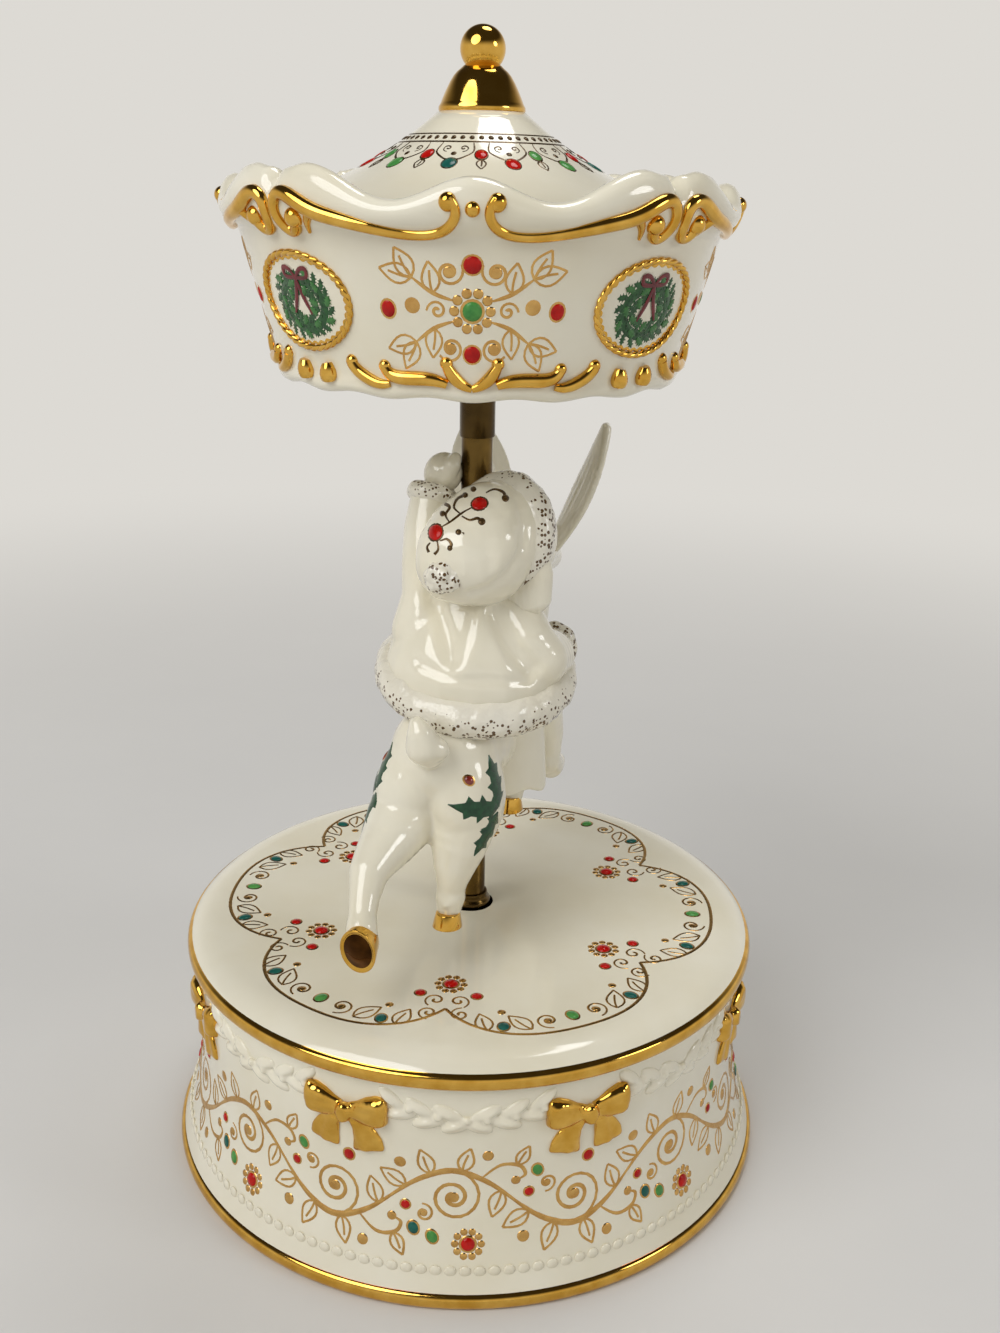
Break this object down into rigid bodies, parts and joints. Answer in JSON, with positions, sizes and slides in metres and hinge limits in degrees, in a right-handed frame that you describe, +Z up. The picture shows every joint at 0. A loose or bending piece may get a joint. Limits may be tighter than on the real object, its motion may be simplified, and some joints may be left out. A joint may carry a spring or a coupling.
{
  "type": "carousel music box",
  "caption": "Porcelain carousel music box: a rider on a leaping deer under a scalloped canopy turns on a gilded drum base with a wind-up movement.",
  "frame": {"origin": "centre of the foot ring, at the table", "axes": "+Z up along the pole; the picture looks along +Y with +X to the right"},
  "size_m": [0.11, 0.11, 0.1933],
  "materials": {
    "porcelain": "gloss glaze",
    "gilding": "bright gilding",
    "brass": "polished",
    "steel": "plain",
    "casting": "as cast",
    "dark_plastic": "matt",
    "rubber": "matt"
  },
  "bodies": {
    "base": {"base_drum": "porcelain", "gilt_bows": "gilding", "bottom_cover": "dark_plastic", "movement_screws": "steel", "bedplate": "casting", "arbor_bush": "brass", "deck_bush": "brass", "thrust_washer": "dark_plastic", "clutch_spring": "steel", "inner_plate": "brass", "outer_plate": "brass", "governor_upright": "brass", "governor_bridge": "brass", "comb": "steel", "comb_block": "casting", "comb_screws": "steel"},
    "turntable": {"turntable_disc": "porcelain", "turntable_hub": "brass", "output_shaft": "steel", "pole": "brass", "tie_rod": "steel", "pole_collar": "brass", "canopy_sleeve": "brass", "crown_washer": "rubber", "canopy": "porcelain", "medallion_frames": "gilding", "finial": "brass", "deer_figure": "porcelain", "rider_figure": "porcelain", "spring_barrel": "brass", "barrel_cap": "brass", "great_wheel": "brass", "mainspring": "steel"},
    "key": {"winding_key": "steel", "winding_arbor": "steel"},
    "cylinder": {"tune_cylinder": "brass", "cylinder_arbor": "steel", "cylinder_pinion": "steel", "cylinder_gear": "brass"},
    "governor": {"governor_arbor": "steel", "governor_pinion": "steel", "worm_wheel": "brass"},
    "fan_shaft": {"worm": "steel", "fan": "dark_plastic"}
  },
  "joints": [
    {"name": "turntable_spin", "type": "hinge", "parent": "base", "child": "turntable", "pos_m": [0, 0, 0.041], "axis": [0, 0, 1], "continuous": true},
    {"name": "key_wind", "type": "hinge", "parent": "base", "child": "key", "pos_m": [0, 0, 0.0055], "axis": [0, 0, 1], "continuous": true},
    {"name": "cylinder_spin", "type": "hinge", "parent": "base", "child": "cylinder", "pos_m": [0.0249, 0, 0.02255], "axis": [1, 0, 0], "continuous": true},
    {"name": "governor_spin", "type": "hinge", "parent": "base", "child": "governor", "pos_m": [0.0355, -0.008, 0.02255], "axis": [1, 0, 0], "continuous": true},
    {"name": "fan_spin", "type": "hinge", "parent": "base", "child": "fan_shaft", "pos_m": [0.0341, -0.0136, 0.02255], "axis": [0, 0, 1], "continuous": true}
  ],
  "couplings": [
    {"joint": "cylinder_spin", "follows": "turntable_spin", "ratio": 4},
    {"joint": "governor_spin", "follows": "turntable_spin", "ratio": -12},
    {"joint": "fan_spin", "follows": "turntable_spin", "ratio": -240}
  ]
}
